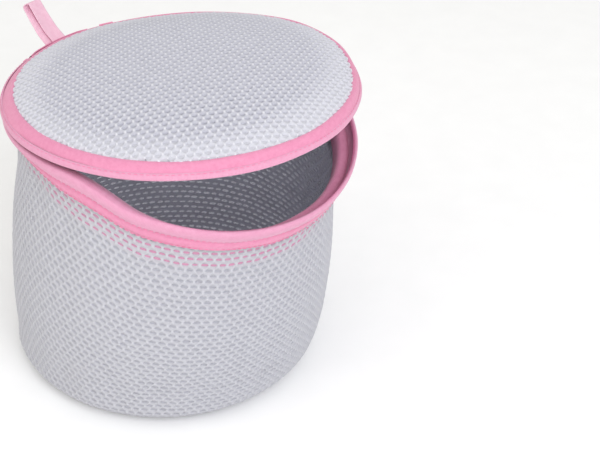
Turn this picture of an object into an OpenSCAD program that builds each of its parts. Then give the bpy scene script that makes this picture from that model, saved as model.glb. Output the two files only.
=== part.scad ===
// Mesh laundry bag for delicates: a round tub of padded net with a zipped, padded lid.
// Units are millimetres, +Z is up and the origin is the middle of the base on the floor.
// The lid's fabric hinge and the hanging loop are at +Y, and the mouth opens towards -Y.

/* [Bag] */
// Radius of the outside of the round wall
bag_r = 94; // [85:1:96]
// Height of the seam that the zip closes, when the rim is level
seam_z = 164; // [145:1:180]
// Thickness of the padded net fabric
net_t = 4; // [3:0.5:5]
// Radius of the soft corner between wall and base
corner_r = 16; // [10:1:20]
// Width of the tape over the seams inside the tub
seam_tape_w = 9; // [6:1:12]

/* [Mouth band] */
// Height of the binding and zip tape above the net wall, over the front half
band_h = 16.5; // [14:0.5:19]
// Height of the same band over the back half, where the net reaches higher
rear_band_h = 7; // [6.5:0.5:8]
// Height of the folded binding at the foot of the front band
binding_h = 7.5; // [5:0.5:8]
// Angle by which the front half of the rim sags below level
mouth_dip = 19.5; // [8:0.5:24]

/* [Lid] */
// Radius of the lid over its flared band
lid_r = 100; // [99:0.5:102]
// Height of the middle of the lid above the zip seam
lid_crown = 18.5; // [16:0.5:24]
// Height of the lid's flared band
lid_band_h = 8; // [7.5:0.5:10]
// Angle by which the lid stands open
lid_open = 1.8; // [1:0.1:6]
// Thickness of the padding at the middle of the lid
lid_pad = 5; // [4:0.5:6]

/* [Zip] */
// Width of one row of the nylon coil
coil_w = 2.2; // [1.8:0.1:2.6]
// Gap left between the two rows of coil
coil_gap = 1; // [0.8:0.1:1.4]
// Thickness of the woven zip tape
tape_t = 0.8; // [0.6:0.1:1]
// Half of the angle that the fabric hinge covers
hinge_half = 14; // [10:1:18]
// Half of the angle between the two ends of the coil
coil_end = 17; // [15:1:22]
// Length of the slider
slider_l = 9; // [8:0.5:11]
// Length of the pull tab
pull_l = 24; // [18:1:30]

/* [Hanging loop] */
// Height of the folded ribbon above its seam
loop_l = 31; // [24:1:40]
// Width of the ribbon
loop_w = 10; // [8:1:14]
// Lean of the loop away from the bag
loop_lean = 38; // [20:1:45]

/* [Hidden] */
$fn = 96;
far = 400;
cut_gap = 0.3;
inner_r = bag_r - net_t;
wall_top = seam_z - band_h;
rear_top = seam_z - rear_band_h;
rear_binding_h = 2.8;
base_r = bag_r - corner_r;
coil_r = lid_r - 0.3 - coil_w;
coil_low_z = seam_z - coil_gap / 2 - coil_w;
coil_up_z = seam_z + coil_gap / 2;
hinge_r = lid_r + 1.2;
leaf_t = 0.8;
leaf_gap = 1.2;
shoulder_r = lid_r - 7;
edge_t = 3.4;
boning_r = 1.2;
boning_clear = 0.3;
lid_binding_w = 3.4;
lid_hoop_r = shoulder_r - 0.9;
lid_hoop_z = seam_z + 1.9;
slider_at = coil_end + 5.5;
slider_gap = 0.8;
plate_t = 1;
plate_h = 7;
plate_out_r = coil_r + coil_w + slider_gap;
plate_in_r = coil_r - tape_t - slider_gap;
pin_r = 0.6;
hub_r = 1.5;
pivot_r = plate_out_r + plate_t + hub_r + 0.3;
pivot_z = seam_z + 0.6;
ribbon_t = 0.7;
loop_gap = 3;
loop_root = 6;
fold_r = loop_gap / 2 + ribbon_t;

// Turns its children about the crease along X at the foot of the mouth band.
module sagged() {
    translate([0, 0, wall_top])
        rotate([mouth_dip, 0, 0])
            translate([0, 0, -wall_top])
                children();
}

// Opens its children about the fabric hinge at the back of the rim.
module opened() {
    translate([0, hinge_r, seam_z])
        rotate([-lid_open, 0, 0])
            translate([0, -hinge_r, -seam_z])
                children();
}

// A band that runs from one angle to another, measured anticlockwise from +X.
module arc_band(from, to) {
    rotate([0, 0, from])
        rotate_extrude(angle = to - from)
            children();
}

// A flat-sided strip that follows a slope from its foot to its top.
module slope(r_low, z_low, r_high, z_high, t) {
    polygon([[r_low - t, z_low], [r_low, z_low], [r_high, z_high], [r_high - t, z_high]]);
}

// The rounded corner of the tub, for the outside or the inside of the wall.
function corner(r_mid, z_mid, r) =
    [for (a = [0 : 15 : 90]) [r_mid + r * sin(a), z_mid - r * cos(a)]];
function corner_back(r_mid, z_mid, r) =
    [for (a = [90 : -15 : 0]) [r_mid + r * sin(a), z_mid - r * cos(a)]];

// The height of the lid's outer face over a radius, flat in the middle and falling at the edge.
function dome_z(r) = seam_z + lid_crown - (lid_crown - lid_band_h) * pow(r / shoulder_r, 3.4);
function dome_in_z(r) = dome_z(r) - lid_pad + (lid_pad - edge_t) * pow(r / shoulder_r, 2);
dome_steps = [0 : 1 / 9 : 1.001];

// ---- tub ----

module base_panel() {
    color([0.86, 0.86, 0.88])
        cylinder(r = base_r, h = net_t);
}

module side_wall_profile() {
    polygon(concat(
        [[base_r + 0.01, net_t]],
        [[base_r + 0.01, 0]],
        corner(base_r, corner_r, corner_r),
        [[bag_r, rear_top], [inner_r, rear_top]],
        corner_back(base_r, corner_r, corner_r - net_t)
    ));
}

// The front half of the wall is cut down to the sagging foot of the mouth band.
module side_wall() {
    color([0.9, 0.9, 0.93])
        difference() {
            rotate_extrude()
                side_wall_profile();
            translate([0, 0, wall_top])
                rotate([mouth_dip, 0, 0])
                    translate([-far / 2, -far, 0])
                        cube([far, far, far / 2]);
            translate([-far / 2, -far / 2, wall_top])
                cube([far, far / 2 + cut_gap, far]);
        }
}

module base_seam_binding() {
    color([0.88, 0.45, 0.66])
        rotate_extrude()
            translate([base_r - 2.5, net_t + 2.4])
                difference() {
                    circle(r = 2.4);
                    circle(r = boning_r + boning_clear);
                }
}

module base_boning_ring() {
    color([0.93, 0.93, 0.9])
        rotate_extrude()
            translate([base_r - 2.5, net_t + 2.4])
                circle(r = boning_r);
}

// A tape over the upright seam at the back, inside the wall.
module wall_seam_tape() {
    half = seam_tape_w / 2 / inner_r * 180 / PI;
    color([0.9, 0.5, 0.7])
        arc_band(90 - half, 90 + half)
            translate([inner_r - 1.1, corner_r + 1])
                square([0.8, wall_top - corner_r - 3]);
}

// ---- mouth band ----

// The folded binding, from the top of the net up by a height.
module rim_binding_profile(foot, height) {
    difference() {
        translate([inner_r - 0.8, foot + 0.1])
            square([coil_r - inner_r + 0.2, height]);
        translate([inner_r, foot])
            square([coil_r - inner_r - 1.6, height - 1]);
    }
}

module tape_lower_profile(foot) {
    slope(coil_r - 0.9, foot, coil_r, seam_z - coil_gap / 2 - 0.3, tape_t);
}

module coil_lower_profile() {
    translate([coil_r + coil_w / 2, coil_low_z + coil_w / 2])
        circle(r = coil_w / 2);
}

module rim_binding_rear() {
    color([0.95, 0.55, 0.75])
        arc_band(0, 180)
            rim_binding_profile(rear_top, rear_binding_h);
}

module zip_tape_lower_rear() {
    color([0.97, 0.62, 0.8])
        arc_band(0, 180)
            tape_lower_profile(rear_top + rear_binding_h + 0.2);
}

module zip_coil_lower_rear() {
    color([0.9, 0.45, 0.68]) {
        arc_band(0, 90 - coil_end)
            coil_lower_profile();
        arc_band(90 + coil_end, 180)
            coil_lower_profile();
    }
}

module rim_binding_front() {
    color([0.95, 0.55, 0.75])
        sagged()
            arc_band(180.2, 359.8)
                rim_binding_profile(wall_top, binding_h);
}

module zip_tape_lower_front() {
    color([0.97, 0.62, 0.8])
        sagged()
            arc_band(180.2, 359.8)
                tape_lower_profile(wall_top + binding_h + 0.2);
}

module zip_coil_lower_front() {
    color([0.9, 0.45, 0.68])
        sagged()
            arc_band(180.2, 359.8)
                coil_lower_profile();
}

// ---- fabric hinge and zip ends ----

module hinge_tape_lower() {
    color([0.93, 0.52, 0.73])
        arc_band(90 - hinge_half, 90 + hinge_half) {
            translate([hinge_r - leaf_t / 2, seam_z - 12])
                square([leaf_t, 12 - leaf_gap]);
            translate([coil_r - 0.2, seam_z - 3.2])
                square([hinge_r - leaf_t / 2 - coil_r + 0.2, 1]);
        }
}

module hinge_tape_upper() {
    color([0.93, 0.52, 0.73])
        opened()
            arc_band(90 - hinge_half, 90 + hinge_half) {
                translate([hinge_r - leaf_t / 2, seam_z + leaf_gap])
                    square([leaf_t, 10 - leaf_gap]);
                translate([coil_r - 0.2, seam_z + 5.4])
                    square([hinge_r - leaf_t / 2 - coil_r + 0.2, 1]);
            }
}

// A folded scrap of tape sewn over each end of the lower row of coil.
module zip_end_tabs() {
    color([0.9, 0.48, 0.7])
        for (a = [90 - coil_end + 0.3, 90 + hinge_half + 0.5])
            arc_band(a, a + coil_end - hinge_half - 0.8)
                translate([coil_r + 0.3, coil_low_z - 2])
                    square([coil_w, coil_w + 1.7]);
}

module zip_end_covers() {
    color([0.9, 0.48, 0.7])
        opened()
            for (a = [90 - coil_end + 0.3, 90 + hinge_half + 0.5])
                arc_band(a, a + coil_end - hinge_half - 0.8)
                    translate([coil_r + 0.3, coil_up_z + 0.3])
                        square([coil_w, coil_w - 0.1]);
}

// ---- lid ----

module lid_panel() {
    outer = [for (s = dome_steps) [s * shoulder_r, dome_z(s * shoulder_r)]];
    inner = [for (s = dome_steps) [(1 - s) * shoulder_r, dome_in_z((1 - s) * shoulder_r)]];
    color([0.82, 0.82, 0.87])
        opened()
            rotate_extrude()
                polygon(concat(outer, inner));
}

module lid_lining() {
    top = [for (s = dome_steps) [s * (shoulder_r - 0.4), dome_in_z(s * (shoulder_r - 0.4)) - 0.3]];
    low = [for (s = dome_steps)
        [(1 - s) * (shoulder_r - 0.4), dome_in_z((1 - s) * (shoulder_r - 0.4)) - 0.9]];
    color([0.94, 0.94, 0.95])
        opened()
            rotate_extrude()
                polygon(concat(top, low));
}

// The binding over the raw edges under the rim of the lid, with the hoop inside it.
module lid_binding() {
    color([0.95, 0.56, 0.76])
        opened()
            rotate_extrude()
                difference() {
                    translate([lid_hoop_r - lid_binding_w / 2, lid_hoop_z - lid_binding_w / 2])
                        square([lid_binding_w, lid_binding_w]);
                    translate([lid_hoop_r, lid_hoop_z])
                        circle(r = boning_r + boning_clear);
                }
}

module lid_boning_ring() {
    color([0.93, 0.93, 0.9])
        opened()
            rotate_extrude()
                translate([lid_hoop_r, lid_hoop_z])
                    circle(r = boning_r);
}

// The flared pink band of the lid, from just above the coil up to the edge of the net.
module zip_tape_upper() {
    color([0.97, 0.6, 0.79])
        opened()
            rotate_extrude()
                slope(lid_r - 1, coil_up_z + coil_w + 0.4, shoulder_r + 1.6, seam_z + lid_band_h + 0.2, 1.1);
}

module zip_coil_upper() {
    color([0.9, 0.45, 0.68])
        opened() {
            arc_band(90 + coil_end, 450 - coil_end)
                translate([coil_r + coil_w / 2, coil_up_z + coil_w / 2])
                    circle(r = coil_w / 2);
        }
}

// ---- slider and pull ----

// Puts its children at the slider, with X along the coil and Y outwards from the bag.
module at_slider() {
    rotate([0, 0, -slider_at])
        children();
}

module zip_slider() {
    color([0.93, 0.58, 0.76])
        at_slider() {
            for (face = [plate_out_r, plate_in_r - plate_t])
                translate([-slider_l / 2, face, seam_z - plate_h / 2])
                    cube([slider_l, plate_t, plate_h]);
            translate([slider_l / 2 - 2.3, plate_in_r - 0.5, seam_z - coil_gap / 4])
                cube([1.6, plate_out_r - plate_in_r + 1, coil_gap / 2]);
            translate([0, pivot_r, pivot_z])
                rotate([0, 90, 0])
                    cylinder(r = pin_r, h = 5.6, center = true);
            for (side = [-1, 1])
                translate([side * 2.6 - 0.5, plate_out_r + plate_t - 0.2, pivot_z - 1.1])
                    cube([1, pivot_r - plate_out_r - plate_t + 1.1, 2.2]);
        }
}

module pull_tab() {
    color([0.96, 0.66, 0.82])
        at_slider()
            translate([0, pivot_r, pivot_z])
                difference() {
                    union() {
                        rotate([0, 90, 0])
                            cylinder(r = hub_r, h = 3.4, center = true);
                        translate([-1.7, -0.6, -pull_l + 3])
                            cube([3.4, 1.2, pull_l - 3]);
                        translate([0, 0.6, -pull_l + 3])
                            rotate([90, 0, 0])
                                cylinder(r = 3, h = 1.2);
                    }
                    rotate([0, 90, 0])
                        cylinder(r = pin_r + 0.08, h = 8, center = true);
                    translate([0, 2, -pull_l + 3])
                        rotate([90, 0, 0])
                            cylinder(r = 1.2, h = 4);
                }
}

// ---- hanging loop ----

// The outline of a folded ribbon seen from its edge, from a foot up to the rounded fold.
function fold_outline(half, foot) = concat(
    [[-half, foot], [half, foot]],
    [for (a = [0 : 20 : 180]) [half * cos(a), loop_l - fold_r + half * sin(a)]]
);

module hanging_loop() {
    color([0.97, 0.76, 0.87])
        opened()
            translate([0, hinge_r + leaf_t / 2 + fold_r + 0.2, seam_z + 4])
                rotate([90 - loop_lean, 0, 0])
                    rotate([0, 90, 0])
                        difference() {
                            linear_extrude(height = loop_w, center = true)
                                polygon(fold_outline(fold_r, 0));
                            linear_extrude(height = loop_w + 2, center = true)
                                polygon(fold_outline(loop_gap / 2, loop_root));
                        }
}

base_panel();
base_seam_binding();
base_boning_ring();
side_wall();
wall_seam_tape();
rim_binding_rear();
zip_tape_lower_rear();
zip_coil_lower_rear();
rim_binding_front();
zip_tape_lower_front();
zip_coil_lower_front();
hinge_tape_lower();
hinge_tape_upper();
zip_end_tabs();
zip_end_covers();
lid_panel();
lid_lining();
lid_binding();
lid_boning_ring();
zip_tape_upper();
zip_coil_upper();
zip_slider();
pull_tab();
hanging_loop();
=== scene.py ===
import math

import bpy
import numpy as np
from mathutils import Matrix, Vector


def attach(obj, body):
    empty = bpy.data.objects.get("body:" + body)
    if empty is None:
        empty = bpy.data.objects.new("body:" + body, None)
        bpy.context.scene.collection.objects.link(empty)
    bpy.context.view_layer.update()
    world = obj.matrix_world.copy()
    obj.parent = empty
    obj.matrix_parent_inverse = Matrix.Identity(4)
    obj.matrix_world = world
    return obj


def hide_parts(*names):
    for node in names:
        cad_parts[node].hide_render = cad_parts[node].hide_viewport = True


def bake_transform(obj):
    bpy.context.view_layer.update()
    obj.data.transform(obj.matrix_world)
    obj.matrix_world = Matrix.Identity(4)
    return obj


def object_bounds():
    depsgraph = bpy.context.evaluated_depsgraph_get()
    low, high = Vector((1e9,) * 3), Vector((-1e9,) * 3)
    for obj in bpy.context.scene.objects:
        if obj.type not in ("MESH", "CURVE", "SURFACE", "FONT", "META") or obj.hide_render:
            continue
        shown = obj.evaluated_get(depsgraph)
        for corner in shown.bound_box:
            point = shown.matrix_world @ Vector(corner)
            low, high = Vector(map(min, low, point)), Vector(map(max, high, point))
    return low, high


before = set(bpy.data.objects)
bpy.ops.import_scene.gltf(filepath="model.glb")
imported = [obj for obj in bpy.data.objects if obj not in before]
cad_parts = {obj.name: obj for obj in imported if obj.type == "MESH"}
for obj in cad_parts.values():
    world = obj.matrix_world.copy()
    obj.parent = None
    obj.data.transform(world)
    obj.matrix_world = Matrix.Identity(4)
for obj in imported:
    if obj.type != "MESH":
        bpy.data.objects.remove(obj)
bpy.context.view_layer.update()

# Lengths are millimetres, and become metres where Blender and the frame take them. Angles are radians,
# apart from bump()'s and the lights', which are degrees.

# ---------------------------------------------------------------- the tub and its mouth
WALL_R = 94.0
CORNER_R = 16.0
BASE_R = WALL_R - CORNER_R
CORNER_ARC = CORNER_R * math.pi / 2
SEAM_Z = 164.0
WALL_TOP = 147.5
REAR_TOP = 157.0
CLOTH_TOP = REAR_TOP - CORNER_R
DIP = math.radians(19.5)
BONING_R = 1.2

# ---------------------------------------------------------------- the lid, its zip and its hinge
LID_OPEN = math.radians(1.8)
HINGE_Y = 101.2
HINGE_HALF = math.radians(14)
SHOULDER_R = 93.0
LID_CROWN = 17.6
LID_EDGE = 7.8
COIL_R = 98.0
COIL_END = math.radians(17)

# ---------------------------------------------------------------- the nets' cells
WALL_PITCH, WALL_ROW = 5.2, 3.9
CELLS_ROUND = int(round(2 * math.pi * WALL_R / WALL_PITCH))
HALF_PHI = math.pi / CELLS_ROUND
LID_PITCH, LID_ROW = 4.45, 3.55
HALF_PITCH = LID_PITCH / 2
LID_TURN = math.radians(-39.6)
LID_SKEW = 0.12

# ---------------------------------------------------------------- the camera
# It sees the bag from its left front; the tub leans a little to the camera's left,
# and the lid's padding sits a little to the camera's right of its band.
CAM_AZ, CAM_EL = math.radians(-52.21), math.radians(34.16)
CAM_DIST = 720.6
CAM_TARGET = (20.7, -25.1, 74.0)
SENSOR = 36
CAM_LENS = 1202.0 / 600 * SENSOR
CAM_SHIFT = (0.1, -0.005)
CAM_RIGHT = np.array([math.cos(CAM_AZ), math.sin(CAM_AZ)])
LEAN = -15.5 * CAM_RIGHT
PAD_SHIFT = 1.6 * CAM_RIGHT

RIM_START = (0.0, 4.0, WALL_TOP)
RIM_END = (0.0, -44.0, WALL_TOP)
RIM_BLEND = ("bag", "mouth", RIM_START, RIM_END)
# The wall below follows it by the height along a sloping line.
WALL_LIFT = np.array([0.0, -0.7, 1.0])
WALL_LIFT_FROM, WALL_LIFT_TO = 114.0, 163.0
LIFT_UNIT = WALL_LIFT / (WALL_LIFT @ WALL_LIFT)
WALL_BLEND = ("bag", "mouth", tuple(LIFT_UNIT * WALL_LIFT_FROM), tuple(LIFT_UNIT * WALL_LIFT_TO))
# The fabric hinge folds over this crease.
CREASE_HALF = 1.5
HINGE_BLEND = ("bag", "lid", (0, HINGE_Y, SEAM_Z - CREASE_HALF), (0, HINGE_Y, SEAM_Z + CREASE_HALF))

UP = np.array([0, 0, 1.0])
rng = np.random.default_rng(7)


# ---------------------------------------------------------------- placing points
def turn_x(p, centre, angle):
    """Points turned about a line along X, anticlockwise seen from +X; angle may differ for each point."""
    q = p - np.asarray(centre)
    c, s = np.cos(angle), np.sin(angle)
    return np.stack([q[..., 0], q[..., 1] * c - q[..., 2] * s, q[..., 1] * s + q[..., 2] * c], -1) + centre


def smooth(t):
    t = np.clip(t, 0, 1)
    return t * t * (3 - 2 * t)


def rim_weight(y):
    return smooth((RIM_START[1] - y) / (RIM_START[1] - RIM_END[1]))


def sag(p):
    """The level rim's points where the sagging front half has them. The weight is that of the final place."""
    y = p[..., 1]
    for _ in range(8):
        q = turn_x(p, (0, 0, WALL_TOP), DIP * rim_weight(y))
        y = q[..., 1]
    return q


def open_lid(p):
    return turn_x(p, (0, HINGE_Y, SEAM_Z), -LID_OPEN)


def around(r, phi, z):
    """Points of a circle; phi is 0 at the front, in the middle of the opening, and grows towards +X."""
    return np.stack(np.broadcast_arrays(r * np.sin(phi), -r * np.cos(phi), z), -1)


def direction(p):
    """The phi of points, as around() takes it."""
    return np.arctan2(p[..., 0], -p[..., 1])


def from_front(phi):
    """How far a direction is from the front, 0 to pi, on either side."""
    return np.abs(np.mod(phi + math.pi, 2 * math.pi) - math.pi)


def bump(phi, middle, half_width):
    """1 at one direction, given in degrees like its half width, and 0 away from it."""
    off = np.mod(phi - math.radians(middle) + math.pi, 2 * math.pi) - math.pi
    return np.exp(-((off / math.radians(half_width)) ** 2))


def waves(phi, seed, n=5, lowest=2):
    """A smooth uneven line round the bag, from -1 to 1 or so."""
    own = np.random.default_rng(seed)
    total = np.zeros_like(phi, dtype=float)
    for k in range(n):
        size = own.uniform(0.3, 1) / (1 + 0.35 * k)
        turns = lowest + 2 * k + own.integers(0, 2)
        total = total + size * np.sin(turns * phi + own.uniform(0, 6.3))
    return total / 1.6


# ---------------------------------------------------------------- the shapes of wall and lid
FOOT_DRAWN_IN, FOOT_DRAWN_IN_LEFT, FOOT_HEIGHT = 0.010, 0.026, 32
BAND_FOLD = 3
BELLY, BELLY_FRONT, BELLY_UNEVEN = 3.1, 3.0, 0.5
BELLY_HEIGHT, BELLY_FULLNESS = 0.82, 1.1
REAR_TUCK = 2.4
REAR_FROM, REAR_OVER = math.radians(82), math.radians(28)
LEVELLING = 1.4
DOME_FLATNESS = 3.4
RIM_PROUD, RIM_PRESSED = 2.4, 2.0
EDGE_TURNS_IN, EDGE_FALLS = 1.4, 0.9
PAD_UNEVEN = 0.3
BASE_UNEVEN = 0.15


def lean(p):
    """The soft tub leans, and its foot is drawn in, most of all at the left front."""
    height = np.clip(1 - p[..., 2] / WALL_TOP, 0, 1)[..., None]
    drawn_in = FOOT_DRAWN_IN + FOOT_DRAWN_IN_LEFT * bump(direction(p), -98, 50)
    out = p.copy()
    shrunk = (1 - drawn_in * np.exp(-((p[..., 2] / FOOT_HEIGHT) ** 2)))[..., None]
    out[..., :2] = out[..., :2] * shrunk + LEAN * height
    return out


def rear_share(phi):
    """0 round the front, where the whole band shows, and 1 where the net reaches the lid at the back."""
    return smooth((from_front(phi) - REAR_FROM) / REAR_OVER)


def on_rim(p):
    """The level mouth band's points where they are: squeezed up at the back, sagging at the front."""
    q = p.copy()
    depth = SEAM_Z - q[..., 2]
    squeeze = (SEAM_Z - REAR_TOP - BAND_FOLD) / (SEAM_Z - WALL_TOP - BAND_FOLD)
    squeezed = BAND_FOLD + (depth - BAND_FOLD) * squeeze
    share = rear_share(direction(q))
    q[..., 2] = SEAM_Z - np.where(depth > BAND_FOLD, depth + (squeezed - depth) * share, depth)
    return sag(q)


def wall_form(phi, s):
    """The wall's outer face before the cloth has settled. s runs up the cloth; below 0 it rounds the corner
    to the base. Lines of equal s run along the sagging rim at the top and level at the bottom."""
    phi, s = np.broadcast_arrays(np.asarray(phi, float), np.asarray(s, float))
    bend = np.clip((s + CORNER_ARC) / CORNER_R, 0, math.pi / 2)
    inside = np.clip(s + CORNER_ARC, None, 0)
    foot = around(BASE_R + CORNER_R * np.sin(bend) + inside, phi, CORNER_R - CORNER_R * np.cos(bend))

    rim = on_rim(around(WALL_R, phi, WALL_TOP + 0 * phi))
    corner = around(WALL_R, phi, CORNER_R + 0 * phi)
    rise = rim[..., 2] - CORNER_R
    up = np.clip(s / CLOTH_TOP, 0, 1)
    share = np.clip((s - (CLOTH_TOP - rise) * (1 - (1 - up) ** LEVELLING)) / rise, 0, 1)
    belly = np.sin(math.pi * share**BELLY_HEIGHT) ** BELLY_FULLNESS
    front = smooth((np.cos(phi) + 0.2) / 1.2)
    tuck = REAR_TUCK * rear_share(phi) * smooth((share - 0.55) / 0.45)
    swell = belly * (BELLY + BELLY_UNEVEN * waves(phi, 3) + front * BELLY_FRONT) - tuck
    outward = around(1.0, phi, 0 * phi)
    wall = corner + (rim - corner) * share[..., None] + outward * swell[..., None]

    over = np.clip(s - CLOTH_TOP, 0, None)
    upright = turn_x(over[..., None] * UP, (0, 0, 0), DIP * rim_weight(rim[..., 1]))
    above = rim - outward * tuck[..., None] + upright
    p = np.where((s < 0)[..., None], foot, wall)
    p = np.where((over > 0)[..., None], above, p)
    return lean(p)


def dome_z(r):
    return SEAM_Z + LID_CROWN - (LID_CROWN - LID_EDGE) * np.abs(r / SHOULDER_R) ** DOME_FLATNESS


def warped(p):
    """The lid's soft rim is pressed down a little at the back and stands a little proud at the right."""
    share = smooth((np.hypot(p[..., 0], p[..., 1]) - 55) / 35) * np.clip((p[..., 2] - SEAM_Z - 1) / 6, 0, 1)
    q = p.copy()
    q[..., 2] += share * (RIM_PROUD * bump(direction(p), 72, 30) - RIM_PRESSED * bump(direction(p), 148, 42))
    return q


def lid_rim(p):
    return open_lid(warped(p))


def lid_form(x, y):
    """The lid's padded face before the cloth has settled, with the lid shut."""
    r = np.hypot(x, y)
    turned_in = np.minimum(r, SHOULDER_R + EDGE_TURNS_IN) / np.maximum(r, 1e-6)
    z = dome_z(np.minimum(r, SHOULDER_R)) - EDGE_FALLS * np.clip(r - SHOULDER_R, 0, None)
    return warped(np.stack([x * turned_in, y * turned_in, z], -1))


# ---------------------------------------------------------------- meshes
UV_R = 97
WALL_STEP = (0.002, 0.2)
BASE_STEP = (0.3, 0.3)
LID_STEP = (0.2, 0.2)
DISC_RINGS, DISC_SECTORS = 26, 120


def make(name, verts, faces, material=None, uv=None):
    """A smooth mesh piece; verts are in millimetres."""
    mesh = bpy.data.meshes.new(name)
    mesh.from_pydata((np.asarray(verts) / 1000).tolist(), [], [list(map(int, f)) for f in faces])
    mesh.update()
    mesh.polygons.foreach_set("use_smooth", [True] * len(mesh.polygons))
    if uv is not None:
        layer = mesh.uv_layers.new(name="UVMap")
        loops = np.zeros(len(mesh.loops), int)
        mesh.loops.foreach_get("vertex_index", loops)
        layer.data.foreach_set("uv", np.asarray(uv, float)[loops].astype(np.float32).ravel())
    obj = bpy.data.objects.new(name, mesh)
    bpy.context.scene.collection.objects.link(obj)
    if material:
        mesh.materials.append(material)
    return obj


def grid_faces(n, m, wrap_n=False, wrap_m=False):
    """Quads of an n by m grid of points."""
    i, j = np.meshgrid(np.arange(n if wrap_n else n - 1), np.arange(m if wrap_m else m - 1), indexing="ij")
    i, j = i.ravel(), j.ravel()
    a, b = (i + 1) % n, (j + 1) % m
    return np.stack([i * m + j, a * m + j, a * m + b, i * m + b], -1)


def normals_of(point, u, v, step):
    """A surface's outward direction by small steps."""
    du, dv = step
    across = np.cross(point(u + du, v) - point(u - du, v), point(u, v + dv) - point(u, v - dv))
    return across / np.maximum(np.linalg.norm(across, axis=-1, keepdims=True), 1e-9)


# A net cell's outline runs through eight places, in quarters of a cell from its middle, and the outline
# of its hole through eight more, in half widths and half heights of the hole.
RING_I = np.array([2, 1, 0, -1, -2, -1, 0, 1])
RING_J = np.roll(RING_I, 2)
HOLE_I = np.array([1, 0.74, 0, -0.74, -1, -0.74, 0, 0.74])
HOLE_J = np.roll(HOLE_I, 2)
# A strand's rounded side goes down from the cell's outline through these shares of the way out from
# the hole: its shoulder, its foot at the hole's edge, and its underside, which turns in below the hole.
SIDE_SHARES = (0.45, 0.0, -0.1)
STRAND_SHOULDER, STRAND_FOOT, BETWEEN_KNOTS = 0.62, -0.25, 0.72
STRAND_JITTER, HEIGHT_JITTER, HOLE_JITTER, HOLE_SHIFT = 0.03, 0.04, 0.07, 0.04


def net(name, point, cells, half, hole, material, height, depth, step, wrap=None):
    """A net of rounded strands over a surface, with one real hole in each cell. cells are (n, 2) whole
    numbers (i, j), a cell's middle being at (i, j) * half, and neighbours differ by one in both."""
    keys = np.stack([2 * cells[:, :1] + RING_I, 2 * cells[:, 1:] + RING_J], -1)
    if wrap:
        keys[..., 0] %= wrap * 2
    shared, index = np.unique(keys.reshape(-1, 2), axis=0, return_inverse=True)
    knot = (shared % 2 == 0).all(axis=1)
    places = [shared * 0.5 + rng.normal(0, STRAND_JITTER, (len(shared), 2))]
    heights = [height * np.where(knot, 1.0, BETWEEN_KNOTS) + rng.normal(0, HEIGHT_JITTER, len(shared))]
    size = 1 + rng.normal(0, HOLE_JITTER, (len(cells), 1))
    shift = rng.normal(0, HOLE_SHIFT, (len(cells), 1))
    hole_i = HOLE_I * hole[0] / half[0] * size + shift
    hole_j = HOLE_J * hole[1] / half[1] * size
    middle = cells[:, None, :].astype(float)
    outline = np.stack([RING_I, RING_J], -1) / 2.0
    layers = [index.reshape(len(cells), 8)]
    for share, level in zip(SIDE_SHARES, (height * STRAND_SHOULDER, STRAND_FOOT, -depth)):
        at = middle + np.stack([hole_i, hole_j], -1) * (1 - share) + outline * share
        layers.append(sum(map(len, places)) + np.arange(len(cells) * 8).reshape(-1, 8))
        places.append(at.reshape(-1, 2))
        heights.append(np.full(len(cells) * 8, level))
    u, v = (np.concatenate(places) * half).T
    verts = point(u, v) + normals_of(point, u, v, step) * np.concatenate(heights)[:, None]
    faces = []
    for a, b in zip(layers, layers[1:]):
        for k in range(8):
            m = (k + 1) % 8
            faces.append(np.stack([a[:, k], a[:, m], b[:, m], b[:, k]], -1))
    return make(name, verts, np.concatenate(faces), material, uv=np.stack([u, v], -1))


def wall_sheet(name, phis, heights, material, offset, wrap=True):
    """A plain sheet over the wall's face, moved along its normal."""
    phi, s = np.meshgrid(phis, heights, indexing="ij")
    verts = (wall_point(phi, s) + normals_of(wall_point, phi, s, WALL_STEP) * offset).reshape(-1, 3)
    faces = grid_faces(len(phis), len(heights), wrap_n=wrap)
    return make(name, verts, faces, material, uv=np.stack([phi.ravel(), s.ravel()], -1))


def disc(name, point, radius, material, offset=lambda r: 0 * r):
    """A round sheet over a surface, moved along its normal by offset at each radius."""
    r = np.linspace(0, radius, DISC_RINGS + 1)[1:]
    a = np.linspace(0, 2 * math.pi, DISC_SECTORS, endpoint=False)
    rr, aa = np.meshgrid(r, a, indexing="ij")
    x, y = np.append(rr * np.cos(aa), 0), np.append(rr * np.sin(aa), 0)
    verts = point(x, y) + normals_of(point, x, y, (0.5, 0.5)) * offset(np.hypot(x, y))[:, None]
    middle = len(verts) - 1
    faces = [list(f) for f in grid_faces(DISC_RINGS, DISC_SECTORS, wrap_m=True)]
    faces += [[middle, k, (k + 1) % DISC_SECTORS] for k in range(DISC_SECTORS)]
    return make(name, verts, faces, material, uv=np.stack([x, y], -1))


def band(name, section, place, material, sway, phis=None):
    """A strip of a fixed section, (radius, height) points, carried round the bag, or along phis alone.
    sway moves it out and up at each direction and share of the section. UVs are millimetres."""
    closed = phis is None
    if closed:
        phis = np.linspace(0, 2 * math.pi, 360, endpoint=False)
    section = np.asarray(section, float)
    along = np.concatenate([[0], np.cumsum(np.linalg.norm(np.diff(section, axis=0), axis=1))])
    phi, k = np.meshgrid(phis, np.arange(len(section)), indexing="ij")
    out, up = sway(phi, k / (len(section) - 1))
    p = place(around(section[k, 0] + out, phi, section[k, 1] + up))
    faces = grid_faces(len(phis), len(section), wrap_n=closed, wrap_m=True)
    uv = np.stack([(phi * UV_R).ravel(), along[k].ravel()], -1)
    return make(name, p.reshape(-1, 3), faces, material, uv=uv)


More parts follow.
